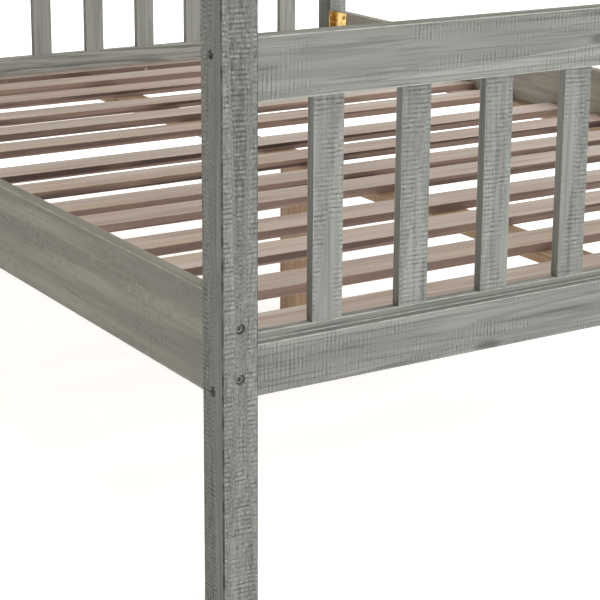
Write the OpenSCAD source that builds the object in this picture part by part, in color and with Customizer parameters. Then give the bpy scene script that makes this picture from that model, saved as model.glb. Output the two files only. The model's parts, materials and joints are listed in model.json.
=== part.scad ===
// Full-over-full bunk bed in rough-sawn, grey-washed timber, with a hook-on ladder.
// +Z is up, Y runs along the sleeper and X across the bed. The origin is on the floor,
// under the middle of the whole footprint, ladder included. Sizes are in millimetres.

/* [Overall] */
// Outside length, post face to post face
bed_l = 2010; // [1800:10:2450]
// Outside width, post face to post face
bed_w = 1450; // [1000:10:1800]
// Rise from the lower deck to the upper deck, and height of the lower posts
deck_rise = 910; // [810:10:1100]
// Height of an end panel, from under its bottom rail to over its top rail
panel_h = 427; // [350:1:520]
// Floor to the underside of the lower end rails
end_z = 280; // [220:5:340]
// How far the upper posts stand above the end panels
post_above = 28; // [0:1:60]

/* [Posts] */
// Side of the square posts
post_s = 48; // [44:1:60]
// Side of the square middle leg
leg_s = 48; // [35:1:60]
// Height of the plastic glide under each post
glide_h = 4; // [3:0.5:8]
// Diameter of the glides
glide_d = 32; // [24:1:40]
// Diameter of a glide's nail
nail_d = 4; // [3:0.5:6]
// Length of a glide's nail
nail_l = 16; // [10:1:25]

/* [End panels] */
// Thickness of the end and guard rails
rail_t = 27; // [25:1:36]
// Height of the top rails of panels and guards
top_rail_h = 75; // [60:1:95]
// Full height of a bottom rail, up to its planed lip
low_rail_h = 74; // [62:1:90]
// Height of the planed lip that stands behind the rough face
lip_h = 10; // [4:1:16]
// Width of the upright slats
slat_w = 42; // [36:1:60]
// Thickness of the upright slats, and of the lip that they stand on
slat_t = 14; // [12:1:16]
// Gap between upright slats; what is left over goes to the two ends
slat_gap = 84; // [60:1:88]
// Length of a slat's tenon
tenon_l = 12; // [8:1:20]
// Shoulder round a tenon, across its thickness
tenon_side = 3; // [2:0.5:4]
// Shoulder round a tenon, across its width
tenon_edge = 6; // [3:0.5:10]
// Room between a tenon and its mortise, on every side
tenon_clear = 0.2; // [0.1:0.05:0.5]

/* [Side rails and deck] */
// Height of the side rails
side_h = 127; // [110:1:160]
// Thickness of the side rails
side_t = 20; // [18:1:26]
// How far the side rails hang below the end rails
side_drop = 4; // [0:1:10]
// How far the ledgers stand out past the posts, where the end strips lie on them
ledger_out = 6; // [4:1:16]
// Height of the ledgers
ledger_h = 19; // [12:1:22]
// Height of the deck's top above the underside of the side rails
deck_up = 40; // [38:1:60]
// Width of a bed slat
bed_slat_w = 66; // [50:1:90]
// Thickness of a bed slat
bed_slat_t = 14; // [10:1:18]
// Number of bed slats in a deck
bed_slats = 13; // [8:1:16]
// Clear length from an end panel to the first bed slat
bed_slat_end = 92; // [40:1:150]
// Width of the end strip of a deck, against each end rail
end_strip_w = 38; // [30:1:50]
// How far the end strips' screws go into the end rails
strip_grip = 16; // [10:1:20]
// Room at each end of a bed slat or end strip
bed_slat_clear = 2; // [1:0.5:5]
// Width of the middle beam
beam_w = 70; // [50:1:100]
// Thickness of the middle beam
beam_t = 15; // [12:1:20]

/* [Guards] */
// Width of a guard's end stile
stile_w = 42; // [36:1:70]
// Length of a stile's tenons
stile_tenon_l = 30; // [15:1:40]
// Distance from the far posts to the ladder gap
guard_end = 200; // [180:5:400]
// Width of the ladder gap in the front guard
gap_w = 420; // [380:5:500]

/* [Ladder] */
// Outside width of the ladder
ladder_w = 400; // [330:5:420]
// Thickness of its stiles
lstile_t = 24; // [20:1:30]
// Depth of its stiles, front to back
lstile_d = 60; // [50:1:80]
// How far its stiles stand above the upper side rail
grip_h = 245; // [100:5:320]
// Depth of its treads
rung_d = 52; // [40:1:56]
// Thickness of its treads
rung_t = 22; // [18:1:28]
// Depth of the housing that a tread sits in
housing = 6; // [3:1:10]
// Room between the ladder and the side rails
ladder_clear = 1; // [0.5:0.5:4]
// Floor to the ladder's rubber feet
foot_gap = 6; // [3:1:20]
// Thickness of the rubber feet
foot_t = 8; // [4:1:15]
// Thickness of the hook plates
hook_t = 5; // [4:0.5:8]
// Height of a hook over the side rail
hook_h = 25; // [15:1:40]
// Depth that a hook reaches down behind the side rail
hook_drop = 40; // [25:1:60]
// Thickness of a hook's nose
hook_nose = 7; // [5:1:12]
// Room between a hook and the side rail
hook_clear = 0.4; // [0.3:0.1:1]
// How far a hook's plate reaches below the side rail's top
hook_down = 58; // [50:1:70]
// Front edge of a stile to a hook's plate
hook_set = 6; // [4:1:10]
// Underside of a hook's plate to its lower screw
hook_screw_up = 12; // [8:1:15]
// Distance between a hook's two screws
hook_screw_gap = 36; // [25:1:40]

/* [Hardware] */
// Diameter of the frame bolts
bolt_d = 6; // [5:0.5:8]
// Diameter of their heads
head_d = 12; // [10:0.5:15]
// Height of their heads
head_h = 7; // [4:0.5:8]
// Diameter of the counterbores
bore_d = 13; // [11:0.5:16]
// Depth of the counterbores
bore_l = 10; // [8:1:14]
// Middle of a guard rail to its bolt, downwards
guard_bolt_down = 3; // [0:1:8]
// Room round a bolt in its hole
bolt_clear = 0.5; // [0.2:0.1:1]
// Bolt length inside a rail
bolt_bite = 36; // [34:1:60]
// Rail end to the barrel nut
nut_in = 26; // [20:1:28]
// Diameter of the barrel nuts
nut_d = 10; // [8:0.5:11]
// Length of the barrel nuts
nut_l = 16; // [12:1:18]
// Distance between a side rail's two bolts
side_bolt_gap = 62; // [55:1:80]
// Top of a panel to its upper bolt
top_bolt_down = 17; // [14:1:30]
// Underside of a panel to its lower bolt
low_bolt_up = 12; // [10:1:20]
// Diameter of the wooden dowels beside the end rail bolts
dowel_d = 8; // [6:1:10]
// Length of the dowels
dowel_l = 28; // [20:1:28]
// Distance from an end rail's bolt to its dowel
dowel_gap = 36; // [25:1:40]
// Diameter of the stacking pins
pin_d = 10; // [8:1:14]
// Length of the stacking pins
pin_l = 80; // [50:5:120]
// Room round dowels, pins, nails, nuts and screws
pin_clear = 0.1; // [0.05:0.05:0.3]
// Length of a corner bracket along the side rail
bracket_l = 57; // [50:1:80]
// End of a corner bracket to its rail screws
bracket_edge = 12; // [8:1:15]
// Height of a corner bracket
bracket_h = 46; // [36:1:60]
// Side rail's top to the bracket's top
bracket_down = 2; // [0:1:10]
// Thickness of the bracket and hanger steel
plate_t = 2.5; // [2:0.5:4]
// Diameter of the wood screws
screw_d = 4; // [3:0.5:5]
// Length of the wood screws under the head
screw_l = 12; // [8:1:12]
// Diameter of the screw heads
screw_head_d = 8; // [6:0.5:9]
// Height of the screw heads
screw_head_h = 2; // [1:0.5:3]
// Length of the beam hangers under the beam
hanger_l = 40; // [25:1:60]
// How far the beam hangers stand out on each side of the beam
hanger_wing = 20; // [14:1:30]

/* [Hidden] */
$fn = 32;
e = 1;
levels = ["lower", "upper"];
ends = ["near", "far"];
sides = ["left", "right"];

GREY = [0.56, 0.57, 0.54];
RAW = [0.68, 0.60, 0.54];
BEAM = [0.62, 0.50, 0.36];
BRASS = [0.80, 0.62, 0.28];
BLACK = [0.10, 0.10, 0.10];
ZINC = [0.72, 0.73, 0.74];
RUBBER = [0.16, 0.16, 0.16];

// Levels
mid = post_s / 2;
side_z = end_z - side_drop;
side_top = side_z + side_h;
deck_z = side_z + deck_up;
ledger_top = deck_z - bed_slat_t;
beam_z = ledger_top - beam_t;
slat_z0 = end_z + low_rail_h;
slat_z1 = end_z + panel_h - top_rail_h;
post_top = deck_rise + end_z + panel_h + post_above;
pin_depth = pin_l / 2;

// Places across the bed: the rails sit on the middle line of the posts
side_in = mid - side_t / 2;
side_face = mid + side_t / 2;
ledger_w = post_s - side_face + ledger_out;
rail_in = mid - rail_t / 2;
rail_face = mid + rail_t / 2;
slat_in = rail_face - slat_t;
inner_w = bed_w - 2 * post_s;
inner_l = bed_l - 2 * post_s;

// The ladder gap and the ladder, along Y
gap_y1 = bed_l - post_s - guard_end;
gap_y0 = gap_y1 - gap_w;
ladder_y = (gap_y0 + gap_y1 - ladder_w) / 2;
ladder_x = side_in - ladder_clear - lstile_d;
ladder_top = deck_rise + side_top + grip_h;
ladder_bottom = foot_gap + foot_t;
rungs = 5;
last_step = 0.25; // last tread to the side rail's top, as a share of the step between treads
rung_step = (deck_rise + side_top) / (rungs + last_step);
rung_x = ladder_x + (lstile_d - rung_d) / 2;
hook_z = deck_rise + side_top - hook_down;
hook_screw_zs = [hook_z + hook_screw_up, hook_z + hook_screw_up + hook_screw_gap];

// The whole footprint is centred on the origin
bed_x0 = -(bed_w + ladder_x) / 2;
bed_y0 = -bed_l / 2;

// Bed slats are nailed by eye, so each one is a little off its even place
slat_drift = [0, 10, 15, -5, 10, -30, -30, -40, 5, 0, -10, 10, 0, 5, -5, 0];
bed_slat_step = (bed_l - 2 * rail_face - 2 * bed_slat_end - bed_slat_w) / (bed_slats - 1);

function upright_count(span) = round((span - slat_gap) / (slat_w + slat_gap));
function upright_start(span) =
    (span - upright_count(span) * slat_w - (upright_count(span) - 1) * slat_gap) / 2;
function uprights(from, span) =
    [for (i = [0 : upright_count(span) - 1]) from + upright_start(span) + i * (slat_w + slat_gap)];
function rise(level) = level * deck_rise;
function bed_slat_y(i) = rail_face + bed_slat_end + i * bed_slat_step + slat_drift[i];

near_span = gap_y0 - stile_w - post_s;
far_from = gap_y1 + stile_w;
far_span = bed_l - post_s - far_from;
panel_xs = uprights(post_s, inner_w);
back_ys = uprights(post_s, inner_l);
front_ys = concat(uprights(post_s, near_span), uprights(far_from, far_span));
stile_ys = [gap_y0 - stile_w, gap_y1];
side_bolt_zs = [for (s = [-1, 1]) side_z + side_h / 2 + s * side_bolt_gap / 2];
low_bolt_z = end_z + low_bolt_up;
top_bolt_z = end_z + panel_h - top_bolt_down;
end_bolt_zs = [low_bolt_z, top_bolt_z];
dowel_zs = [low_bolt_z + dowel_gap, top_bolt_z - dowel_gap];
guard_bolt_z = end_z + panel_h - top_rail_h / 2 - guard_bolt_down;
bracket_z = side_top - bracket_down - bracket_h;
bracket_screw_zs = [bracket_z + bracket_h / 4, bracket_z + bracket_h * 3 / 4];
rail_screw_y = post_s + bracket_l - bracket_edge;
post_screw_x = (side_face + plate_t + post_s) / 2;

// Moves a piece from the bed's corner frame, with the near left post at zero, to its place
module placed() translate([bed_x0, bed_y0, 0]) children();

// Copies a piece made at the near left corner to any corner, or to the other end or side
module corner(right, far)
    translate([right * bed_w, far * bed_l, 0]) mirror([right, 0, 0]) mirror([0, far, 0]) children();

module block(from, size) translate(from) cube(size);

// A round bar along X, Y or Z
module bar_x(from, l, d) translate(from) rotate([0, 90, 0]) cylinder(d = d, h = l);
module bar_y(from, l, d) translate(from) rotate([-90, 0, 0]) cylinder(d = d, h = l);
module bar_z(from, l, d) translate(from) cylinder(d = d, h = l);

// Swaps X and Y, to use a shape made along one of them along the other
module swapped() mirror([1, -1, 0]) children();

// Posts -------------------------------------------------------------------

// Hole through a post along Y for one bolt, with its counterbore on the outside
module bolt_hole_y(z) {
    bar_y([mid, -e, z], post_s + 2 * e, bolt_d + 2 * bolt_clear);
    bar_y([mid, -e, z], bore_l + e, bore_d);
}

module post_holes(level) {
    for (z = side_bolt_zs) bolt_hole_y(z + rise(level));
    for (z = end_bolt_zs) swapped() bolt_hole_y(z + rise(level));
    for (z = dowel_zs)
        bar_x([post_s - dowel_l / 2, mid, z + rise(level)], dowel_l, dowel_d + 2 * pin_clear);
    for (z = bracket_screw_zs)
        bar_y([post_screw_x, post_s - screw_l, z + rise(level)], screw_l + e, screw_d + 2 * pin_clear);
    if (level == 1) bolt_hole_y(guard_bolt_z + deck_rise);
}

// Sockets at the joint between the posts, and the nail hole under the lower one
module post_ends(level) {
    bar_z([mid, mid, deck_rise - pin_depth - e], pin_l + 2 * e, pin_d + 2 * pin_clear);
    if (level == 0) bar_z([mid, mid, glide_h - e], nail_l + 2 * e, nail_d + 2 * pin_clear);
}

module post(level, right, far) {
    z0 = level == 0 ? glide_h : deck_rise;
    z1 = level == 0 ? deck_rise : post_top;
    color(GREY) placed() corner(right, far) difference() {
        block([0, 0, z0], [post_s, post_s, z1 - z0]);
        post_holes(level);
        post_ends(level);
    }
}

// End panels --------------------------------------------------------------

// Bolt, nut and dowel holes at one end of a rail that runs along Y
module rail_end_holes(bolt_zs, dowels, nut_face) {
    for (z = bolt_zs) {
        bar_y([mid, post_s - e, z], bolt_bite + 2 * e, bolt_d + 2 * bolt_clear);
        bar_x([mid - nut_l / 2 - pin_clear, post_s + nut_in, z],
            nut_face + e - mid + nut_l / 2 + pin_clear, nut_d + 2 * pin_clear);
    }
    for (z = dowels) bar_y([mid, post_s - e, z], dowel_l / 2 + 2 * e, dowel_d + 2 * pin_clear);
}

// Mortises for the tenons of upright slats whose lower left corner is at p, cut down from z
module mortises(xs, z, up)
    for (x = xs)
        block([x + tenon_edge - tenon_clear, slat_in + tenon_side - tenon_clear,
            up ? z - e : z - tenon_l - tenon_clear],
            [slat_w - 2 * tenon_edge + 2 * tenon_clear,
            slat_t - 2 * tenon_side + 2 * tenon_clear, tenon_l + tenon_clear + e]);

// Runs a section in Y and Z along X, from post to post
module along_x(l) translate([post_s, 0, 0]) rotate([90, 0, 90]) linear_extrude(l) children();

// Both ends of an end rail, from a shape made for the near end of a left side rail
module end_rail_ends() for (right = [0, 1]) corner(right, 0) swapped() children();

module top_rail(level, far) {
    z1 = end_z + panel_h;
    color(GREY) placed() corner(0, far) translate([0, 0, rise(level)]) difference() {
        block([post_s, rail_in, z1 - top_rail_h], [inner_w, rail_t, top_rail_h]);
        mortises(panel_xs, slat_z1, true);
        end_rail_ends() rail_end_holes([top_bolt_z], [top_bolt_z - dowel_gap], rail_face);
    }
}

module bottom_rail(level, far) {
    color(GREY) placed() corner(0, far) translate([0, 0, rise(level)]) difference() {
        along_x(inner_w) polygon([
            [rail_in, end_z], [rail_face, end_z], [rail_face, slat_z0],
            [slat_in, slat_z0], [slat_in, slat_z0 - lip_h], [rail_in, slat_z0 - lip_h],
        ]);
        mortises(panel_xs, slat_z0, false);
        end_rail_ends() rail_end_holes([low_bolt_z], [low_bolt_z + dowel_gap], rail_face);
        at_hanger_screws() bar_y([0, -screw_l, 0], screw_l + e, screw_d + 2 * pin_clear);
        at_strip_screws() bar_y([0, -end_strip_w - strip_grip, 0], strip_grip + e, screw_d + 2 * pin_clear);
    }
}

// One upright slat with a tenon at each end; its lower left corner is at x, slat_in, z0
module upright(x, z0, z1) {
    block([x, slat_in, z0], [slat_w, slat_t, z1 - z0]);
    block([x + tenon_edge, slat_in + tenon_side, z0 - tenon_l],
        [slat_w - 2 * tenon_edge, slat_t - 2 * tenon_side, z1 - z0 + 2 * tenon_l]);
}

module panel_slats(level, far)
    color(GREY) placed() corner(0, far) translate([0, 0, rise(level)])
        for (x = panel_xs) upright(x, slat_z0, slat_z1);

// Side rails and decks ------------------------------------------------------

// Mortises in the top of a side rail or the underside of a guard rail, slats on its middle line
module side_mortises(ys, z, up) {
    w = slat_w - 2 * tenon_edge + 2 * tenon_clear;
    t = slat_t - 2 * tenon_side + 2 * tenon_clear;
    for (y = ys)
        block([mid - t / 2, y + tenon_edge - tenon_clear, up ? z - e : z - tenon_l - tenon_clear],
            [t, w, tenon_l + tenon_clear + e]);
}

module stile_mortises(ys, z, up) {
    w = stile_w - 2 * tenon_edge + 2 * tenon_clear;
    t = slat_t - 2 * tenon_side + 2 * tenon_clear;
    l = stile_tenon_l + tenon_clear + e;
    for (y = ys)
        block([mid - t / 2, y + tenon_edge - tenon_clear, up ? z - e : z - l + e], [t, w, l]);
}

// Screw holes in the inner face of a side rail for its corner bracket
module bracket_rail_holes()
    for (z = bracket_screw_zs)
        bar_x([side_face - screw_l, rail_screw_y, z], screw_l + e, screw_d + 2 * pin_clear);

module side_rail(level, right) {
    color(GREY) placed() corner(right, 0) translate([0, 0, rise(level)]) difference() {
        block([side_in, post_s, side_z], [side_t, inner_l, side_h]);
        for (far = [0, 1]) corner(0, far) {
            rail_end_holes(side_bolt_zs, [], side_face);
            bracket_rail_holes();
        }
        if (level == 1) {
            side_mortises(right == 1 ? back_ys : front_ys, side_top, false);
            if (right == 0) stile_mortises(stile_ys, side_top, false);
        }
    }
}

// Screw places in a deck, one over each ledger for every bed slat
module at_slat_screws()
    for (right = [0, 1], i = [0 : bed_slats - 1])
        corner(right, 0) translate([side_face + ledger_w / 2, bed_slat_y(i) + bed_slat_w / 2, 0])
            children();

module ledger(level, right) {
    color(RAW) placed() translate([0, 0, rise(level)]) difference() {
        corner(right, 0) block([side_face, post_s, ledger_top - ledger_h],
            [ledger_w, inner_l, ledger_h]);
        at_slat_screws() bar_z([0, 0, deck_z - screw_head_h - screw_l - bed_slat_t],
            screw_l + bed_slat_t, screw_d + 2 * pin_clear);
    }
}

module bed_slat_set(level) {
    x0 = side_face + bed_slat_clear;
    color(RAW) placed() translate([0, 0, rise(level)]) difference() {
        for (i = [0 : bed_slats - 1])
            block([x0, bed_slat_y(i), ledger_top], [bed_w - 2 * x0, bed_slat_w, bed_slat_t]);
        at_slat_screws() {
            bar_z([0, 0, ledger_top - e], bed_slat_t + 2 * e, screw_d + 2 * pin_clear);
            bar_z([0, 0, deck_z - screw_head_h], screw_head_h + e, screw_head_d + 2 * pin_clear);
        }
    }
}

// Four screw places in the near end strip, at its inner edge
module at_strip_screws()
    for (i = [0 : 3])
        translate([post_s + inner_w * (i + 0.5) / 4, rail_face + end_strip_w, (ledger_top + deck_z) / 2])
            children();

// Strips that close each deck against its end rails
module end_strips()
    color(RAW) placed() for (level = [0, 1], far = [0, 1])
        translate([0, 0, rise(level)]) corner(0, far) difference() {
            block([post_s + bed_slat_clear, rail_face, ledger_top],
                [inner_w - 2 * bed_slat_clear, end_strip_w, bed_slat_t]);
            at_strip_screws() {
                bar_y([0, -end_strip_w - e, 0], end_strip_w + 2 * e, screw_d + 2 * pin_clear);
                bar_y([0, -screw_head_h, 0], screw_head_h + e, screw_head_d + 2 * pin_clear);
            }
        }

module centre_beam(level) {
    y0 = rail_face + plate_t;
    color(BEAM) placed() translate([0, 0, rise(level)])
        block([(bed_w - beam_w) / 2, y0, beam_z], [beam_w, bed_l - 2 * y0, beam_t]);
}

module centre_leg()
    color(BEAM) placed() difference() {
        block([(bed_w - leg_s) / 2, (bed_l - leg_s) / 2, glide_h], [leg_s, leg_s, beam_z - glide_h]);
        bar_z([bed_w / 2, bed_l / 2, glide_h - e], nail_l + 2 * e, nail_d + 2 * pin_clear);
    }

// Places of the two screws in each beam hanger, at the near end rail's inner face
module at_hanger_screws()
    for (x = [-1, 1])
        translate([bed_w / 2 + x * (beam_w + hanger_wing) / 2, rail_face, beam_z + beam_t / 2]) children();

// Angle plates that carry the ends of the middle beams
module beam_hangers() {
    w = beam_w + 2 * hanger_wing;
    x0 = (bed_w - w) / 2;
    z0 = beam_z - plate_t;
    color(ZINC) placed() for (level = [0, 1], far = [0, 1])
        translate([0, 0, rise(level)]) corner(0, far) difference() {
            union() {
                block([x0, rail_face, z0], [w, plate_t, beam_t + plate_t]);
                block([x0, rail_face, z0], [w, hanger_l, plate_t]);
            }
            at_hanger_screws() bar_y([0, -e, 0], plate_t + 2 * e, screw_d + 2 * pin_clear);
        }
}

// Guards --------------------------------------------------------------------

guard_z0 = end_z + panel_h - top_rail_h;

// A guard's top rail on the upper side rails; fixed_near and fixed_far say which ends meet a post
module guard_rail(right, y0, y1, slats, stiles, fixed_near, fixed_far) {
    color(GREY) placed() corner(right, 0) translate([0, 0, deck_rise]) difference() {
        block([rail_in, y0, guard_z0], [rail_t, y1 - y0, top_rail_h]);
        side_mortises(slats, guard_z0, true);
        stile_mortises(stiles, guard_z0, true);
        if (fixed_near) rail_end_holes([guard_bolt_z], [], rail_face);
        if (fixed_far) corner(0, 1) rail_end_holes([guard_bolt_z], [], rail_face);
    }
}

module guard_upright(y, w, l) {
    block([mid - slat_t / 2, y, side_top], [slat_t, w, guard_z0 - side_top]);
    block([mid - slat_t / 2 + tenon_side, y + tenon_edge, side_top - l],
        [slat_t - 2 * tenon_side, w - 2 * tenon_edge, guard_z0 - side_top + 2 * l]);
}

module guard_slats(right, ys)
    color(GREY) placed() corner(right, 0) translate([0, 0, deck_rise])
        for (y = ys) guard_upright(y, slat_w, tenon_l);

module guard_stiles()
    color(GREY) placed() translate([0, 0, deck_rise]) for (y = stile_ys) {
        guard_upright(y, stile_w, stile_tenon_l);
        block([side_in, y, side_top], [side_t, stile_w, guard_z0 - side_top]);
    }

// Ladder ----------------------------------------------------------------------

function rung_z(i) = i * rung_step - rung_t;

// Holes for the tread bolts, through a stile and into the tread's end, made at the near stile
module ladder_bolt_holes() {
    for (i = [1 : rungs]) translate([ladder_x + lstile_d / 2, ladder_y, rung_z(i) + rung_t / 2]) {
        bar_y([0, -e, 0], lstile_t + bolt_bite + e, bolt_d + 2 * bolt_clear);
        bar_y([0, -e, 0], head_h + e, bore_d);
    }
}

module hook_screw_holes()
    for (z = hook_screw_zs)
        bar_y([ladder_x + lstile_d / 2, ladder_y + lstile_t - screw_l, z],
            screw_l + e, screw_d + 2 * pin_clear);

// The far stile mirrors the near one about the ladder's middle
module ladder_side(far)
    translate([0, far * (2 * ladder_y + ladder_w), 0]) mirror([0, far, 0]) children();

module ladder_stile(far) {
    r = lstile_d / 2;
    color(GREY) placed() ladder_side(far) difference() {
        union() {
            block([ladder_x, ladder_y, ladder_bottom], [lstile_d, lstile_t, ladder_top - r - ladder_bottom]);
            bar_y([ladder_x + r, ladder_y, ladder_top - r], lstile_t, lstile_d);
        }
        for (i = [1 : rungs])
            block([rung_x - tenon_clear, ladder_y + lstile_t - housing, rung_z(i) - tenon_clear],
                [rung_d + 2 * tenon_clear, housing + e, rung_t + 2 * tenon_clear]);
        ladder_bolt_holes();
        hook_screw_holes();
    }
}

module ladder_rung(i) {
    y0 = ladder_y + lstile_t - housing + tenon_clear;
    color(GREY) placed() difference() {
        block([rung_x, y0, rung_z(i)], [rung_d, 2 * ladder_y + ladder_w - 2 * y0, rung_t]);
        for (far = [0, 1]) ladder_side(far) ladder_bolt_holes();
    }
}

// Plate hooks screwed inside the stiles, which drop over the upper side rail
module ladder_hooks() {
    top = deck_rise + side_top;
    x0 = ladder_x + hook_set;
    nose = side_face + hook_clear;
    back = side_in - ladder_clear;
    color(BLACK) placed() for (far = [0, 1]) ladder_side(far)
        translate([0, ladder_y + lstile_t + hook_t, 0]) {
            difference() {
                rotate([90, 0, 0]) linear_extrude(hook_t) polygon([
                    [x0, hook_z], [back, hook_z], [back, top + hook_clear],
                    [nose, top + hook_clear], [nose, top - hook_drop], [nose + hook_nose, top - hook_drop],
                    [nose + hook_nose, top + hook_h], [x0, top + hook_h],
                ]);
                for (z = hook_screw_zs)
                    bar_y([ladder_x + lstile_d / 2, -hook_t - e, z],
                        hook_t + 2 * e, screw_d + 2 * pin_clear);
            }
        }
}

module ladder_feet()
    color(RUBBER) placed() for (far = [0, 1]) ladder_side(far)
        block([ladder_x, ladder_y, foot_gap], [lstile_d, lstile_t, foot_t]);

// Tread bolts and hook screws
module ladder_bolts()
    color(BLACK) placed() for (far = [0, 1]) ladder_side(far) {
        for (i = [1 : rungs])
            translate([ladder_x + lstile_d / 2, ladder_y, rung_z(i) + rung_t / 2]) {
                bar_y([0, e, 0], head_h - e, head_d);
                bar_y([0, e, 0], lstile_t + bolt_bite - 3 * e, bolt_d);
            }
        for (z = hook_screw_zs) translate([ladder_x + lstile_d / 2, ladder_y + lstile_t, z]) {
            bar_y([0, hook_t, 0], screw_head_h, screw_head_d);
            bar_y([0, e - screw_l, 0], screw_l + hook_t, screw_d);
        }
    }

// Hardware --------------------------------------------------------------------

// One piece at each of the four corners, made at the near left one
module at_corners() placed() for (right = [0, 1], far = [0, 1]) corner(right, far) children();

module glide(x, y) {
    bar_z([x, y, 0], glide_h, glide_d);
    bar_z([x, y, glide_h - e], nail_l + e, nail_d);
}

module foot_glides()
    color(RUBBER) {
        at_corners() glide(mid, mid);
        placed() glide(bed_w / 2, bed_l / 2);
    }

module stacking_pins()
    color(ZINC) at_corners() bar_z([mid, mid, deck_rise - pin_depth], pin_l, pin_d);

// A frame bolt along Y, with a hexagon socket in its sunk head
module frame_bolt(z) translate([mid, 0, z]) difference() {
    union() {
        bar_y([0, bore_l - head_h, 0], head_h, head_d);
        bar_y([0, bore_l - e, 0], post_s + bolt_bite - bore_l + e, bolt_d);
    }
    translate([0, bore_l - head_h - e, 0]) rotate([-90, 0, 0])
        cylinder(d = head_d / 2, h = head_h / 2 + e, $fn = 6);
}

module frame_bolts()
    color(BLACK) at_corners() {
        for (level = [0, 1], z = side_bolt_zs) frame_bolt(z + rise(level));
        for (level = [0, 1], z = end_bolt_zs) swapped() frame_bolt(z + rise(level));
        frame_bolt(guard_bolt_z + deck_rise);
    }

module barrel_nut(z) translate([mid, post_s + nut_in, z]) difference() {
    bar_x([-nut_l / 2, 0, 0], nut_l, nut_d);
    bar_y([0, -nut_d, 0], 2 * nut_d, bolt_d + 2 * pin_clear);
}

module barrel_nuts()
    color(ZINC) at_corners() {
        for (level = [0, 1], z = side_bolt_zs) barrel_nut(z + rise(level));
        for (level = [0, 1], z = end_bolt_zs) swapped() barrel_nut(z + rise(level));
        barrel_nut(guard_bolt_z + deck_rise);
    }

module rail_dowels()
    color(RAW) at_corners() for (level = [0, 1], z = dowel_zs)
        bar_x([post_s - dowel_l / 2, mid, z + rise(level)], dowel_l, dowel_d);

// Plated angle in the corner between each side rail and post, with a rib across the bend
module corner_bracket(level) translate([side_face, post_s, bracket_z + rise(level)]) {
    difference() {
        union() {
            cube([plate_t, bracket_l, bracket_h]);
            cube([post_s - side_face, plate_t, bracket_h]);
            translate([0, 0, bracket_h / 2 - plate_t / 2]) linear_extrude(plate_t)
                polygon([[0, 0], [post_s - side_face, 0], [0, bracket_l / 2]]);
        }
        for (z = bracket_screw_zs) {
            bar_x([-e, rail_screw_y - post_s, z - bracket_z], plate_t + 2 * e, screw_d + 2 * pin_clear);
            bar_y([post_screw_x - side_face, -e, z - bracket_z], plate_t + 2 * e, screw_d + 2 * pin_clear);
        }
    }
}

module corner_brackets()
    color(BRASS) at_corners() for (level = [0, 1]) corner_bracket(level);

// A wood screw along Y, its head on a plate whose back is at y = 0
module plate_screw() {
    bar_y([0, plate_t, 0], screw_head_h, screw_head_d);
    bar_y([0, e - screw_l, 0], screw_l + plate_t, screw_d);
}

module bracket_screws()
    color(BRASS) at_corners() for (level = [0, 1], z = bracket_screw_zs) {
        translate([side_face, rail_screw_y, z + rise(level)]) swapped() plate_screw();
        translate([post_screw_x, post_s, z + rise(level)]) plate_screw();
    }

module hanger_screws()
    color(ZINC) placed() for (level = [0, 1], far = [0, 1])
        translate([0, 0, rise(level)]) corner(0, far) at_hanger_screws() plate_screw();

// Screws down through the bed slats, and level through the end strips
module deck_screws()
    color(ZINC) placed() for (level = [0, 1]) translate([0, 0, rise(level)]) {
        at_slat_screws() {
            bar_z([0, 0, deck_z - screw_head_h], screw_head_h, screw_head_d);
            bar_z([0, 0, deck_z - screw_head_h - screw_l - bed_slat_t + e], screw_l + bed_slat_t, screw_d);
        }
        for (far = [0, 1]) corner(0, far) at_strip_screws() {
            bar_y([0, -screw_head_h, 0], screw_head_h, screw_head_d);
            bar_y([0, e - end_strip_w - strip_grip, 0], end_strip_w + strip_grip - e, screw_d);
        }
    }

// Drawing ---------------------------------------------------------------------

for (v = [0, 1], r = [0, 1], f = [0, 1])
    post(v, r, f);
for (v = [0, 1], f = [0, 1])
    top_rail(v, f);
for (v = [0, 1], f = [0, 1])
    bottom_rail(v, f);
for (v = [0, 1], f = [0, 1])
    panel_slats(v, f);
for (v = [0, 1], r = [0, 1])
    side_rail(v, r);
for (v = [0, 1], r = [0, 1])
    ledger(v, r);
for (v = [0, 1])
    centre_beam(v);
for (v = [0, 1])
    bed_slat_set(v);
end_strips();
centre_leg();
beam_hangers();
guard_rail(1, post_s, bed_l - post_s, back_ys, [], true, true);  // guard_back_rail
guard_slats(1, back_ys);  // guard_back_slats
guard_rail(0, post_s, gap_y0, uprights(post_s, near_span), [stile_ys[0]], true, false);  // guard_front_near_rail
guard_rail(0, gap_y1, bed_l - post_s, uprights(far_from, far_span), [stile_ys[1]], false, true);  // guard_front_far_rail
guard_slats(0, front_ys);  // guard_front_slats
guard_stiles();
ladder_stile(0);  // ladder_near_stile
ladder_stile(1);  // ladder_far_stile
for (i = [1 : rungs])
    ladder_rung(i);
ladder_hooks();
ladder_feet();
ladder_bolts();
foot_glides();
stacking_pins();
frame_bolts();
barrel_nuts();
rail_dowels();
corner_brackets();
bracket_screws();
hanger_screws();
deck_screws();
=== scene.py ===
import json
import math

import bpy
from mathutils import Matrix, Vector

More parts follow.
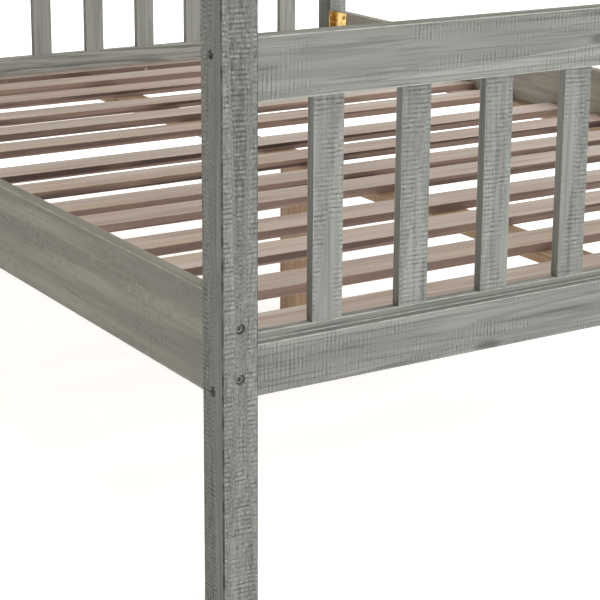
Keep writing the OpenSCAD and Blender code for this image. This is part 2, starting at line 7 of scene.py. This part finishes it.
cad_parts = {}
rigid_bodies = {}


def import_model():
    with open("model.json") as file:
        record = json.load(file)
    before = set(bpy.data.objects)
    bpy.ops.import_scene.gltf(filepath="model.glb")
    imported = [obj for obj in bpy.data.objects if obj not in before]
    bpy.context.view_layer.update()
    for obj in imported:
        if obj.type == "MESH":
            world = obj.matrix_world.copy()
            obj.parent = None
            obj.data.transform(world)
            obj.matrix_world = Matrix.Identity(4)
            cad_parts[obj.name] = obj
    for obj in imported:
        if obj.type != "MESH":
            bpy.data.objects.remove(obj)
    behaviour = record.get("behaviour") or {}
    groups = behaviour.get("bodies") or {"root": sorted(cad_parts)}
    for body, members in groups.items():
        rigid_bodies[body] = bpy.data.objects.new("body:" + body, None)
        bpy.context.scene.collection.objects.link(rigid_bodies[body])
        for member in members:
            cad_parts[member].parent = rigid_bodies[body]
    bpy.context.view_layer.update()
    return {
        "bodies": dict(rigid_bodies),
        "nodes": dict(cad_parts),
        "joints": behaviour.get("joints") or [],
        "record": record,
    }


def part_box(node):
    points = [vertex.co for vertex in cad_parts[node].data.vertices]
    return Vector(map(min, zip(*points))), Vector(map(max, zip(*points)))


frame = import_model()
nodes = frame["nodes"]

# Camera ---------------------------------------------------------------------

# Place of the camera from the outer near left corner of the lower post, and its angles
CAMERA_OFFSET = (-0.997, -1.7717)
CAMERA_HEIGHT = 1.029
CAMERA_YAW = 32.98
CAMERA_DOWN = 14.711
CAMERA_ROLL = 0.628


def aim(yaw, down, roll):
    """Rotation of a camera that looks yaw degrees right of +Y and down below the horizon."""
    a, b, c = (math.radians(v) for v in (yaw, down, roll))
    ahead = Vector((math.sin(a) * math.cos(b), math.cos(a) * math.cos(b), -math.sin(b)))
    right = Vector((math.cos(a), -math.sin(a), 0))
    up = right.cross(ahead)
    right, up = right * math.cos(c) + up * math.sin(c), up * math.cos(c) - right * math.sin(c)
    return Matrix((right, up, -ahead)).transposed()


post_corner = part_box("lower_post_near_left")[0]
camera = bpy.data.objects.new("camera", bpy.data.cameras.new("camera"))
bpy.context.scene.collection.objects.link(camera)
bpy.context.scene.camera = camera
camera.location = (post_corner.x + CAMERA_OFFSET[0], post_corner.y + CAMERA_OFFSET[1], CAMERA_HEIGHT)
camera.rotation_euler = aim(CAMERA_YAW, CAMERA_DOWN, CAMERA_ROLL).to_euler()
camera.data.sensor_width = 36
camera.data.lens = 111.27
camera.data.shift_x = -0.0585
camera.data.shift_y = -0.12
camera.data.clip_start = 0.05
camera.data.clip_end = 100


# Node helpers ---------------------------------------------------------------

AXES = {"x": 0, "y": 1, "z": 2}


class Shade:
    """A material under construction: a Principled shader, and short calls for its nodes."""

    def __init__(self, name):
        self.material = bpy.data.materials.new(name)
        self.material.use_nodes = True
        self.tree = self.material.node_tree
        self.tree.nodes.clear()
        self.shader = self.new("ShaderNodeBsdfPrincipled")
        out = self.new("ShaderNodeOutputMaterial")
        self.tree.links.new(self.shader.outputs[0], out.inputs["Surface"])
        coords = self.new("ShaderNodeTexCoord")
        split = self.new("ShaderNodeSeparateXYZ")
        self.tree.links.new(coords.outputs["Object"], split.inputs[0])
        self.place = split.outputs
        self.point = coords.outputs["Object"]

    def new(self, kind):
        return self.tree.nodes.new(kind)

    def put(self, socket, value):
        if isinstance(value, bpy.types.NodeSocket):
            self.tree.links.new(value, socket)
        else:
            socket.default_value = value

    def math(self, operation, a, b=0.0):
        n = self.new("ShaderNodeMath")
        n.operation = operation
        self.put(n.inputs[0], a)
        self.put(n.inputs[1], b)
        return n.outputs[0]

    def add(self, *values):
        total = values[0]
        for v in values[1:]:
            total = self.math("ADD", total, v)
        return total

    def times(self, *values):
        total = values[0]
        for v in values[1:]:
            total = self.math("MULTIPLY", total, v)
        return total

    def vector(self, x, y, z):
        n = self.new("ShaderNodeCombineXYZ")
        for socket, value in zip(n.inputs, (x, y, z)):
            self.put(socket, value)
        return n.outputs[0]

    def noise(self, vector, scale=1.0, detail=2.0, rough=0.5):
        n = self.new("ShaderNodeTexNoise")
        self.put(n.inputs["Vector"], vector)
        n.inputs["Scale"].default_value = scale
        n.inputs["Detail"].default_value = detail
        n.inputs["Roughness"].default_value = rough
        return n.outputs["Fac"]

    def spots(self, vector):
        """Distance from the nearest of many scattered points, about one to each unit cube."""
        n = self.new("ShaderNodeTexVoronoi")
        self.put(n.inputs["Vector"], vector)
        n.inputs["Scale"].default_value = 1.0
        return n.outputs["Distance"]

    def ramp(self, value, low, high, to_low=0.0, to_high=1.0):
        """Takes low to to_low and high to to_high, smoothly, and stays level past them."""
        n = self.new("ShaderNodeMapRange")
        n.interpolation_type = "SMOOTHSTEP"
        for socket, v in zip(n.inputs, (value, low, high, to_low, to_high)):
            self.put(socket, v)
        return n.outputs[0]

    def mix(self, share, a, b):
        """Colour a, and colour b by its share."""
        n = self.new("ShaderNodeMix")
        n.data_type = "RGBA"
        sockets = [s for s in n.inputs if s.enabled]
        for socket, value in zip(sockets, (share, a, b)):
            if isinstance(value, tuple):
                value = (*value, 1.0)
            self.put(socket, value)
        return [s for s in n.outputs if s.enabled][0]

    def random(self):
        """One number for each separate solid of each object."""
        info = self.new("ShaderNodeObjectInfo")
        island = self.new("ShaderNodeNewGeometry")
        both = self.add(info.outputs["Random"], self.times(island.outputs["Random Per Island"], 3.7))
        return self.math("FRACT", both)

    def normal(self, axis):
        """How far the surface faces along the axis, from -1 to 1."""
        split = self.new("ShaderNodeSeparateXYZ")
        self.tree.links.new(self.new("ShaderNodeNewGeometry").outputs["True Normal"], split.inputs[0])
        return split.outputs[AXES[axis]]

    def facing(self, axis, sign):
        """1 where the surface faces that way along the axis, or either way for sign 0."""
        part = self.normal(axis)
        part = self.math("ABSOLUTE", part) if sign == 0 else self.times(part, float(sign))
        return self.ramp(part, 0.75, 0.95)

    def bump(self, height, distance, strength):
        n = self.new("ShaderNodeBump")
        n.inputs["Distance"].default_value = distance
        n.inputs["Strength"].default_value = strength
        self.put(n.inputs["Height"], height)
        self.put(self.shader.inputs["Normal"], n.outputs[0])

    def finish(self, colour, rough, specular=0.3, metallic=0.0):
        self.put(self.shader.inputs["Base Color"], colour)
        self.put(self.shader.inputs["Roughness"], rough)
        self.shader.inputs["Specular IOR Level"].default_value = specular
        self.shader.inputs["Metallic"].default_value = metallic
        return self.material


# Timber ---------------------------------------------------------------------

SAW_PITCH = 0.0058  # spacing of the saw marks
LIP = 0.010  # height of the planed lip on top of a bottom rail
LIP_EDGE = 0.0008  # height over which the saw marks stop at the lip
HALF_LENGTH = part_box("lower_post_far_left")[1].y

# Colours of the grey wash; the pale one also serves as painted light on faces in the bunk's shade and as a
# painted highlight on saw ridges
WASH_LIGHT = (0.330, 0.345, 0.325)
WASH_DARK = (0.200, 0.211, 0.200)
WASH_DEEP = (0.060, 0.063, 0.060)
WASH_PALE_AND_PAINTED_LIGHT = (0.52, 0.54, 0.52)

# Colours of the bare deck timber: its faces, then the edges of the slats, in uneven browns of their own,
# painted far darker than the faces as painted shade
DECK_DARK = (0.42, 0.345, 0.322)
DECK_LIGHT = (0.578, 0.515, 0.482)
DECK_RING = (0.40, 0.275, 0.20)
DECK_STAIN = (0.36, 0.25, 0.18)
DECK_FIBRE = (0.36, 0.27, 0.22)
DECK_GREY = (0.545, 0.505, 0.485)
DECK_SAND = (0.55, 0.46, 0.365)
SHADED_EDGE_MID = (0.19, 0.130, 0.108)
SHADED_EDGE_DARK = (0.055, 0.036, 0.029)
SHADED_EDGE_LIGHT = (0.26, 0.180, 0.145)

# Colours of the bare beams, ledgers and dowels
BEAM_DARK = (0.275, 0.18, 0.11)
BEAM_LIGHT = (0.40, 0.295, 0.20)
BEAM_RING = (0.21, 0.12, 0.065)
BEAM_FIBRE = (0.25, 0.16, 0.09)
BEAM_KNOT = (0.09, 0.045, 0.025)


def grain_frame(s, grain):
    """Coordinates along the grain and across it, moved by a different amount in each piece."""
    r = s.random()
    along = s.add(s.place[AXES[grain]], s.times(r, 9.0))
    u, v = (s.place[AXES[a]] for a in "xyz" if a != grain)
    return r, along, u, v


def grain_place(s, frame, across, lengthways):
    """The place in a grain frame, scaled across the grain and along it."""
    along, u, v = frame
    return s.vector(s.times(u, across), s.times(v, across), s.times(along, lengthways))


def grain_noise(s, frame, across, lengthways, detail=2.0, rough=0.6):
    """Noise with so many periods a metre across the grain and along it."""
    return s.noise(grain_place(s, frame, across, lengthways), 1.0, detail, rough)


def growth_rings(s, frame, lengthways, across, lines):
    """Long wavy grain lines, 0 between lines and 1 in the line."""
    wave = s.math("SINE", s.times(grain_noise(s, frame, across, lengthways, 1.5, 0.45), lines))
    return s.ramp(wave, -0.45, -1.0)


def knots(s, frame, across, lengthways, core, rim):
    """1 in the middle of each knot, and 0 outside its rim."""
    return s.ramp(s.spots(grain_place(s, frame, across, lengthways)), core, rim, 1.0, 0.0)


def inner_part(s):
    """0 near a post's outer corner along the bed, and 1 further in, with an uneven border."""
    inward = s.math("SUBTRACT", HALF_LENGTH, s.math("ABSOLUTE", s.place[1]))
    return s.ramp(s.add(inward, s.times(s.noise(s.point, 30.0), 0.02)), 0.022, 0.034)


def saw_marks(s, frame, marked):
    """The fine uneven cuts that a saw leaves across the grain, and a mask of the ridges between them, for
    a painted highlight.
    """
    along, u, v = frame
    tilt = s.times(s.add(u, s.times(v, -1.0)), 0.02)
    wobble = s.add(grain_noise(s, frame, 5.0, 24.0), s.times(grain_noise(s, frame, 60.0, 60.0), 0.22))
    turns = s.times(s.add(along, tilt), 2 * math.pi / SAW_PITCH)
    phase = s.math("SINE", s.add(turns, s.times(wobble, 8.0)))
    dash = s.ramp(grain_noise(s, frame, 110.0, 220.0), 0.40, 0.58)
    faint = s.ramp(grain_noise(s, frame, 34.0, 60.0), 0.34, 0.62, 0.15, 1.0)
    cut = s.times(s.ramp(phase, 0.30, 0.98), s.add(s.times(dash, 0.8), 0.2), faint, marked)
    ridge_highlight = s.times(s.ramp(phase, 0.1, -0.7), faint, marked)
    return cut, ridge_highlight


def grey_wood(
    name,
    grain,
    rough_face=None,
    planed_above=None,
    cover=(0.36, 0.46),
    tone=1.0,
    streaks=1.0,
    depth=0.8,
    weave=0.3,
    painted_inner_light=0.55,
    hue=(1.0, 1.0, 1.0),
    post=False,
):
    """Grey-washed timber with saw marks across its grain, on the faces left rough.

    rough_face    axis and sign of the rough face, with 0 for both ways, or None for all faces
    planed_above  height over which the wood is planed, without saw marks
    cover         noise levels between which the saw marks set in, so lower levels cover more
    tone, hue     brightness and tint of the wash
    streaks       strength of the grain lines
    depth, weave  strength of the saw marks, and of the threads and specks between them
    inside        how pale the face across from the rough one is painted, as painted light on that face, which looks into the bed and lies in its shade
    post          True for a post: few marks at its outer corners, and painted paler where it looks in along the bed, as painted light for the shade of the bunk
    """
    s = Shade(name)
    r, *frame = grain_frame(s, grain)
    marked = s.ramp(grain_noise(s, frame, 26.0, 6.0), *cover)
    if rough_face:
        marked = s.times(marked, s.facing(*rough_face))
    if planed_above is not None:
        marked = s.times(marked, s.ramp(s.place[2], planed_above - LIP_EDGE, planed_above, 1.0, 0.0))
    if post:
        calm = s.times(s.facing("x", 0), s.math("SUBTRACT", 1.0, inner_part(s)))
        marked = s.times(marked, s.math("SUBTRACT", 1.0, s.times(calm, 0.9)))

    cut, ridge_highlight = saw_marks(s, frame, marked)
    fibre = grain_noise(s, frame, 360.0, 90.0, 3.0, 0.7)
    thread = s.ramp(fibre, 0.53, 0.66)
    crest = s.ramp(fibre, 0.49, 0.37)
    speck = s.ramp(s.noise(s.point, 260.0, 2.0, 0.6), 0.57, 0.68)
    rings = growth_rings(s, frame, 1.0, 17.0, 50.0)
    fine_rings = growth_rings(s, frame, 2.2, 60.0, 34.0)
    broad = grain_noise(s, frame, 26.0, 1.8, 3.0, 0.55)
    streak = s.ramp(grain_noise(s, frame, 75.0, 3.0, 3.0), 0.56, 0.70)
    hair = s.ramp(grain_noise(s, frame, 210.0, 4.5, 2.0), 0.54, 0.64)
    knot = knots(s, frame, 9.0, 3.1, 0.03, 0.085)

    washes = (WASH_LIGHT, WASH_DARK, WASH_DEEP, WASH_PALE_AND_PAINTED_LIGHT)
    light, dark, deep, pale = (tuple(c * h * tone for c, h in zip(wash, hue)) for wash in washes)
    colour = s.mix(s.ramp(broad, 0.30, 0.70), dark, light)
    # Painted light: the face across from the rough one looks into the bed, lies in its shade, and is
    # painted paler by the share inside.
    if rough_face and rough_face[1]:
        colour = s.mix(s.times(s.facing(rough_face[0], -rough_face[1]), painted_inner_light), colour, pale)
    # Painted light: the post faces that look in along the bed, in the bunk's shade, are painted paler.
    if post:
        inward_painted_light = s.ramp(s.times(s.place[1], s.normal("y")), -0.7, -0.9)
        colour = s.mix(s.times(inward_painted_light, 0.7), colour, pale)
    colour = s.mix(s.times(r, 0.25), colour, dark)
    colour = s.mix(s.times(rings, 0.60 * streaks), colour, dark)
    colour = s.mix(s.times(fine_rings, 0.30 * streaks), colour, dark)
    colour = s.mix(s.times(streak, 0.36 * streaks), colour, deep)
    colour = s.mix(s.times(hair, 0.22 * streaks), colour, deep)
    # Painted highlight: the ridges between the saw cuts are painted paler, and also lift the pale fibre
    # crests on them.
    colour = s.mix(s.times(ridge_highlight, 0.12 * depth), colour, pale)
    colour = s.mix(s.times(crest, s.add(s.times(ridge_highlight, 0.5), 0.2), marked, weave), colour, pale)
    colour = s.mix(s.times(cut, 0.62 * depth), colour, deep)
    colour = s.mix(s.times(thread, marked, 0.55 * weave), colour, deep)
    colour = s.mix(s.times(speck, marked, 0.60 * weave), colour, deep)
    colour = s.mix(s.times(knot, 0.6), colour, deep)

    height = s.add(
        s.times(cut, -0.8 * depth),
        s.times(thread, s.add(s.times(marked, 0.30), 0.08), -1.0),
        s.times(rings, -0.14),
        s.times(fine_rings, -0.08),
    )
    s.bump(height, 0.0009, 0.6)
    return s.finish(colour, s.ramp(cut, 0.0, 1.0, 0.70, 0.88), 0.25)


def eased_edge(name, light, dark):
    """The sanded arris of a board, worn unevenly between two tones."""
    s = Shade(name)
    worn = s.noise(s.point, 60.0, 3.0, 0.6)
    colour = s.mix(s.ramp(worn, 0.35, 0.65), dark, light)
    s.bump(worn, 0.0003, 0.4)
    return s.finish(colour, 0.72, 0.3)


def deck_wood(name, tone=1.0):
    """Bare sawn timber of the decks: pinkish beige faces, and uneven brown edges painted far darker than
    the faces, as painted shade.
    """
    s = Shade(name)
    r, *frame = grain_frame(s, "x")
    fibre = grain_noise(s, frame, 260.0, 5.0, 3.0)
    rings = growth_rings(s, frame, 0.8, 20.0, 40.0)
    cloud = grain_noise(s, frame, 20.0, 2.4, 3.0, 0.55)
    face = s.mix(s.ramp(cloud, 0.3, 0.7), DECK_DARK, DECK_LIGHT)
    stain = s.ramp(grain_noise(s, frame, 45.0, 2.6, 3.0), 0.50, 0.64)
    face = s.mix(s.times(rings, 0.26), face, DECK_RING)
    face = s.mix(s.times(stain, s.ramp(r, 0.2, 0.8, 0.25, 0.75)), face, DECK_STAIN)
    face = s.mix(s.times(s.ramp(fibre, 0.58, 0.40), 0.08), face, DECK_FIBRE)
    face = s.mix(s.ramp(r, 0.55, 0.95, 0.0, 0.6), face, DECK_GREY)
    face = s.mix(s.ramp(r, 0.05, 0.35, 0.45, 0.0), face, DECK_SAND)
    # Painted shade: the faces that look along Y, the slats' edges, are painted dark brown for the shade
    # between the slats.
    edge = s.mix(s.ramp(r, 0.25, 0.85), SHADED_EDGE_MID, SHADED_EDGE_DARK)
    edge = s.mix(s.ramp(cloud, 0.45, 0.70), edge, SHADED_EDGE_LIGHT)
    colour = s.mix(s.facing("y", 0), face, edge)
    # Darker by 1 - tone: painted shade where tone is below 1, as on the end strips.
    colour = s.mix(1.0 - tone, colour, (0.0, 0.0, 0.0))
    s.bump(s.add(s.times(fibre, 0.6), s.times(rings, -0.25)), 0.0004, 0.5)
    return s.finish(colour, 0.74, 0.25)


def beam_wood(name, grain):
    """Bare light brown timber with orange streaks and dark knots."""
    s = Shade(name)
    frame = grain_frame(s, grain)[1:]
    fibre = grain_noise(s, frame, 240.0, 5.0, 3.0)
    rings = growth_rings(s, frame, 1.0, 22.0, 60.0)
    cloud = grain_noise(s, frame, 18.0, 2.0, 3.0, 0.5)
    knot = knots(s, frame, 8.0, 4.0, 0.04, 0.12)
    colour = s.mix(s.ramp(cloud, 0.3, 0.7), BEAM_DARK, BEAM_LIGHT)
    colour = s.mix(s.times(rings, 0.5), colour, BEAM_RING)
    colour = s.mix(s.times(s.ramp(fibre, 0.56, 0.42), 0.3), colour, BEAM_FIBRE)
    colour = s.mix(s.times(knot, 0.7), colour, BEAM_KNOT)
    s.bump(s.add(s.times(fibre, 0.6), s.times(rings, -0.3)), 0.0004, 0.5)
    return s.finish(colour, 0.66, 0.3)


# Hardware -------------------------------------------------------------------


def plated(name, tone, dull, rough, metallic=1.0):
    """Plated or painted steel with faint scratches and a mottled passivation film."""
    s = Shade(name)
    film = s.noise(s.point, 90.0, 4.0, 0.6)
    x, y, z = s.place
    scratch = s.noise(s.vector(s.times(x, 60.0), s.times(y, 60.0), s.times(z, 900.0)), 1.0, 2.0)
    colour = s.mix(s.ramp(film, 0.35, 0.68), tone, dull)
    colour = s.mix(s.times(s.ramp(scratch, 0.60, 0.72), 0.25), colour, tone)
    s.bump(s.add(s.times(film, 0.4), s.times(scratch, 0.3)), 0.0002, 0.3)
    return s.finish(colour, s.ramp(film, 0.3, 0.7, rough, rough + 0.16), 0.5, metallic)


def moulded(name, tone, grain_size, rough):
    """Moulded plastic or rubber with a fine spark-eroded grain."""
    s = Shade(name)
    skin = s.noise(s.point, grain_size, 3.0, 0.6)
    dust = s.noise(s.point, 35.0, 3.0)
    colour = s.mix(s.ramp(dust, 0.45, 0.75), tone, tuple(c * 1.8 for c in tone))
    s.bump(skin, 0.0003, 0.5)
    return s.finish(colour, s.ramp(dust, 0.3, 0.7, rough, rough + 0.12), 0.4)


# Which material each node gets ---------------------------------------------

RAIL_COVER = (0.42, 0.54)  # where saw marks set in on the end panels' rails

post_wood = grey_wood("wash_post", "z", cover=(0.24, 0.36), tone=0.69, depth=1.0, weave=0.78, post=True)
near_slat_wood = grey_wood("wash_near_slats", "z", ("y", -1), tone=0.88, depth=1.0, weave=0.36)
# Painted light: the far slats are painted paler than the near ones, for the shade at the far end of the
# bunk.
far_slat_painted_light = grey_wood("wash_far_slats", "z", ("y", 1), tone=0.96, streaks=0.6, depth=1.0, weave=0.36)
guard_slat_wood = grey_wood("wash_guard_slats", "z", ("x", 0), tone=0.90, depth=1.0, weave=0.36)
near_rail_wood, far_rail_wood = (
    grey_wood(
        "wash_" + end + "_top_rail",
        "x",
        ("y", sign),
        cover=RAIL_COVER,
        tone=0.90,
        streaks=1.6,
        depth=0.75,
        weave=0.18,
    )
    for end, sign in (("near", -1), ("far", 1))
)
left_side_wood, right_side_wood = (
    grey_wood(
        "wash_side_" + side,
        "y",
        ("x", sign),
        cover=(0.42, 0.56),
        tone=0.90,
        streaks=0.4,
        depth=0.5,
        weave=0.35,
        # painted light: the side rails' faces that look into the bed are painted much paler, for the shade
        # there
        painted_inner_light=0.9,
        hue=(1.055, 1.0, 0.93),
    )
    for side, sign in (("left", -1), ("right", 1))
)
guard_wood = grey_wood("wash_guard_rail", "y", ("x", 0), cover=(0.46, 0.58), depth=0.5)
ladder_wood = grey_wood("wash_ladder", "z", tone=0.88, weave=0.5)
tread_wood = grey_wood("wash_tread", "y", cover=(0.52, 0.62), tone=0.95, depth=0.5)
dark_edge = eased_edge("wash_edge_dark", (0.11, 0.115, 0.108), (0.030, 0.032, 0.029))
pale_edge = eased_edge("wash_edge_pale", (0.40, 0.415, 0.39), (0.29, 0.30, 0.28))
raw_edge = eased_edge("raw_edge", (0.50, 0.40, 0.34), (0.33, 0.24, 0.19))
raw_wood = deck_wood("raw_deck")
# Painted shade: the end strips are painted darker than the slats, for the shade of the end panels over
# them.
strip_wood_painted_shade = deck_wood("raw_strip_painted_shade", 0.78)
ledger_wood = beam_wood("raw_ledger", "y")
beam_y = beam_wood("raw_beam", "y")
beam_z = beam_wood("raw_leg", "z")
dowel_wood = beam_wood("raw_dowel", "x")
bolt_steel = plated("bolt_steel", (0.20, 0.205, 0.195), (0.11, 0.11, 0.105), 0.48, 0.5)
black_steel = plated("black_steel", (0.022, 0.022, 0.023), (0.045, 0.045, 0.045), 0.38, 0.6)
zinc_steel = plated("zinc_steel", (0.62, 0.63, 0.65), (0.45, 0.46, 0.48), 0.28)
yellow_zinc = plated("yellow_zinc", (0.83, 0.58, 0.20), (0.62, 0.42, 0.20), 0.22)
dull_steel = plated("dull_steel", (0.30, 0.25, 0.21), (0.17, 0.13, 0.105), 0.5, 0.5)
black_plastic = moulded("black_plastic", (0.03, 0.03, 0.031), 1500.0, 0.48)
black_rubber = moulded("black_rubber", (0.022, 0.022, 0.022), 900.0, 0.72)


def bottom_rail_wood(name):
    """The wood of one bottom rail, planed along its own top."""
    far = "_far_" in name
    return grey_wood(
        "wash_" + name,
        "x",
        ("y", 1 if far else -1),
        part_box(name)[1].z - LIP,
        cover=RAIL_COVER,
        # painted light: the far rail is painted paler than the near one, for the shade at the far end of
        # the bunk
        tone=1.08 if far else 0.82,
        streaks=1.6,
        depth=0.75,
        weave=0.22,
    )


def looks(name):
    """Material, edge material and edge radius of a CAD node: the first row whose words its name holds."""
    if "_bottom_rail" in name:
        return bottom_rail_wood(name), pale_edge, 0.0012
    table = (
        ("_post_", post_wood, dark_edge, 0.0018),
        ("near_top_rail", near_rail_wood, pale_edge, 0.0014),
        ("far_top_rail", far_rail_wood, pale_edge, 0.0014),
        ("left_side_rail", left_side_wood, pale_edge, 0.0014),
        ("right_side_rail", right_side_wood, pale_edge, 0.0014),
        ("_ledger", ledger_wood, ledger_wood, 0.0010),
        ("bed_slats", raw_wood, raw_edge, 0.0008),
        ("end_strips", strip_wood_painted_shade, raw_edge, 0.0008),
        ("centre_beam", beam_y, beam_y, 0.0010),
        ("centre_leg", beam_z, beam_z, 0.0015),
        ("guard_back_rail", guard_wood, pale_edge, 0.0015),
        ("guard_front_near_rail", guard_wood, pale_edge, 0.0015),
        ("guard_front_far_rail", guard_wood, pale_edge, 0.0015),
        ("guard_back_slats", guard_slat_wood, pale_edge, 0.0010),
        ("guard_front_slats", guard_slat_wood, pale_edge, 0.0010),
        ("guard_stiles", guard_slat_wood, pale_edge, 0.0012),
        ("ladder_rung", tread_wood, pale_edge, 0.0015),
        ("_stile", ladder_wood, dark_edge, 0.0018),
        ("near_slats", near_slat_wood, pale_edge, 0.0011),
        ("far_slats", far_slat_painted_light, pale_edge, 0.0011),
        ("ladder_hooks", black_steel, black_steel, 0.0004),
        ("ladder_bolts", black_steel, black_steel, 0.0002),
        ("frame_bolts", bolt_steel, bolt_steel, 0.0002),
        ("ladder_feet", black_rubber, black_rubber, 0.0008),
        ("foot_glides", black_plastic, black_plastic, 0.0005),
        ("corner_brackets", yellow_zinc, yellow_zinc, 0.0003),
        ("bracket_screws", yellow_zinc, yellow_zinc, 0.0001),
        ("rail_dowels", dowel_wood, dowel_wood, 0.0004),
        ("beam_hangers", zinc_steel, zinc_steel, 0.0003),
        ("deck_screws", dull_steel, dull_steel, 0.0001),
        ("", zinc_steel, zinc_steel, 0.0001),
    )
    return next(row[1:] for row in table if row[0] in name)


WELD = 1e-5  # corners nearer than this are one corner
SHARP = math.radians(40)  # edges that turn more than this are eased
LONG_EDGE = 0.007  # edges shorter than this, such as those round a hole, stay sharp


def arris_finder():
    """Modifier nodes that join each solid's faces, and mark its long sharp edges for the bevel."""
    group = bpy.data.node_groups.new("arris_finder", "GeometryNodeTree")
    for way in ("INPUT", "OUTPUT"):
        group.interface.new_socket("Geometry", in_out=way, socket_type="NodeSocketGeometry")
    start = group.nodes.new("NodeGroupInput")
    end = group.nodes.new("NodeGroupOutput")
    merge = group.nodes.new("GeometryNodeMergeByDistance")
    merge.inputs["Distance"].default_value = WELD
    angle = group.nodes.new("GeometryNodeInputMeshEdgeAngle")
    sharp = group.nodes.new("ShaderNodeMath")
    sharp.operation = "GREATER_THAN"
    sharp.inputs[1].default_value = SHARP
    ends = group.nodes.new("GeometryNodeInputMeshEdgeVertices")
    length = group.nodes.new("ShaderNodeVectorMath")
    length.operation = "DISTANCE"
    long = group.nodes.new("ShaderNodeMath")
    long.operation = "GREATER_THAN"
    long.inputs[1].default_value = LONG_EDGE
    both = group.nodes.new("ShaderNodeMath")
    both.operation = "MULTIPLY"
    store = group.nodes.new("GeometryNodeStoreNamedAttribute")
    store.data_type, store.domain = "FLOAT", "EDGE"
    store.inputs["Name"].default_value = "bevel_weight_edge"
    link = group.links.new
    link(start.outputs[0], merge.inputs["Geometry"])
    link(merge.outputs[0], store.inputs["Geometry"])
    link(angle.outputs["Unsigned Angle"], sharp.inputs[0])
    link(ends.outputs["Position 1"], length.inputs[0])
    link(ends.outputs["Position 2"], length.inputs[1])
    link(length.outputs["Value"], long.inputs[0])
    link(sharp.outputs[0], both.inputs[0])
    link(long.outputs[0], both.inputs[1])
    link(both.outputs[0], next(i for i in store.inputs if i.name == "Value" and i.enabled))
    link(store.outputs[0], end.inputs[0])
    return group


arrises = arris_finder()


def dress(node, name):
    """Gives a node its materials, and eases its edges as on real timber or plate."""
    material, edge, radius = looks(name)
    node.data.materials.clear()
    node.data.materials.append(material)
    node.data.materials.append(edge)
    node.modifiers.new("arrises", "NODES").node_group = arrises
    bevel = node.modifiers.new("ease", "BEVEL")
    bevel.width, bevel.segments = radius, 2
    bevel.limit_method = "WEIGHT"
    bevel.use_clamp_overlap = True
    bevel.material = 1
    node.modifiers.new("shade", "WEIGHTED_NORMAL")


for name, node in nodes.items():
    dress(node, name)


# Floor and light ------------------------------------------------------------

FLOOR_REACH = 60.0  # from the middle of the floor to each side
FLOOR_GLOW = 0.48  # light of its own, so that the floor is as white as in the photo
FLOOR_TONES = ((0.84, 0.87, 0.90), (0.87, 0.90, 0.93))


def floor_paint():
    """Bluish white paint, mottled so faintly that it reads as plain white."""
    s = Shade("floor_paint")
    mottle = s.noise(s.point, 2.0, 3.0)
    s.shader.inputs["Emission Color"].default_value = (1, 1, 1, 1)
    s.shader.inputs["Emission Strength"].default_value = FLOOR_GLOW
    return s.finish(s.mix(mottle, *FLOOR_TONES), 0.9, 0.1)


floor_mesh = bpy.data.meshes.new("floor")
floor_corners = [(x * FLOOR_REACH, y * FLOOR_REACH, 0) for x, y in ((-1, -1), (1, -1), (1, 1), (-1, 1))]
floor_mesh.from_pydata(floor_corners, [], [(0, 1, 2, 3)])
floor = bpy.data.objects.new("floor", floor_mesh)
bpy.context.scene.collection.objects.link(floor)
floor_mesh.materials.append(floor_paint())


def sun(name, heading, height, strength, softness):
    """A soft white light from a heading in degrees, counter-clockwise from -Y, at a height in degrees."""
    lamp = bpy.data.objects.new(name, bpy.data.lights.new(name, "SUN"))
    bpy.context.scene.collection.objects.link(lamp)
    a, e = math.radians(heading), math.radians(height)
    source = Vector((math.sin(a) * math.cos(e), -math.cos(a) * math.cos(e), math.sin(e)))
    lamp.rotation_euler = source.to_track_quat("Z", "Y").to_euler()
    lamp.data.energy = strength
    lamp.data.angle = math.radians(softness)


sun("front", 15, 14, 0.9, 30)
sun("top", 60, 72, 1.9, 70)
sun("back", 165, 16, 0.55, 45)

SKY_TOWARD = (0.90, -0.30, 0.31)  # the sky is brightest and whitest this way
SKY_LIGHT = (0.12, 0.80)  # its strength away from there, and towards it
SKY_TINT = ((1.0, 0.87, 0.62, 1.0), (1.0, 1.0, 1.0, 1.0))


def studio_sky():
    """A sky that lights the object unevenly, and that the camera sees as plain white."""
    world = bpy.data.worlds.new("studio")
    bpy.context.scene.world = world
    world.use_nodes = True
    tree = world.node_tree
    tree.nodes.clear()
    link = tree.links.new
    sky = tree.nodes.new("ShaderNodeBackground")
    backdrop = tree.nodes.new("ShaderNodeBackground")
    backdrop.inputs["Color"].default_value = (1.0, 1.0, 1.0, 1.0)
    rays = tree.nodes.new("ShaderNodeLightPath")
    seen = tree.nodes.new("ShaderNodeMixShader")
    link(rays.outputs["Is Camera Ray"], seen.inputs[0])
    link(sky.outputs[0], seen.inputs[1])
    link(backdrop.outputs[0], seen.inputs[2])
    out = tree.nodes.new("ShaderNodeOutputWorld")
    link(seen.outputs[0], out.inputs["Surface"])

    direction = tree.nodes.new("ShaderNodeTexCoord")
    toward = tree.nodes.new("ShaderNodeVectorMath")
    toward.operation = "DOT_PRODUCT"
    toward.inputs[1].default_value = SKY_TOWARD
    link(direction.outputs["Generated"], toward.inputs[0])
    level = tree.nodes.new("ShaderNodeMapRange")
    level.inputs["From Min"].default_value = -1.0
    level.inputs["From Max"].default_value = 0.6
    level.inputs["To Min"].default_value, level.inputs["To Max"].default_value = SKY_LIGHT
    link(toward.outputs["Value"], level.inputs["Value"])
    link(level.outputs[0], sky.inputs["Strength"])
    tint = tree.nodes.new("ShaderNodeMix")
    tint.data_type = "RGBA"
    share, away, near = (i for i in tint.inputs if i.enabled)
    away.default_value, near.default_value = SKY_TINT
    link(toward.outputs["Value"], share)
    link(tint.outputs[2], sky.inputs["Color"])


studio_sky()

bpy.context.scene.view_settings.view_transform = "Standard"
bpy.context.scene.view_settings.look = "None"
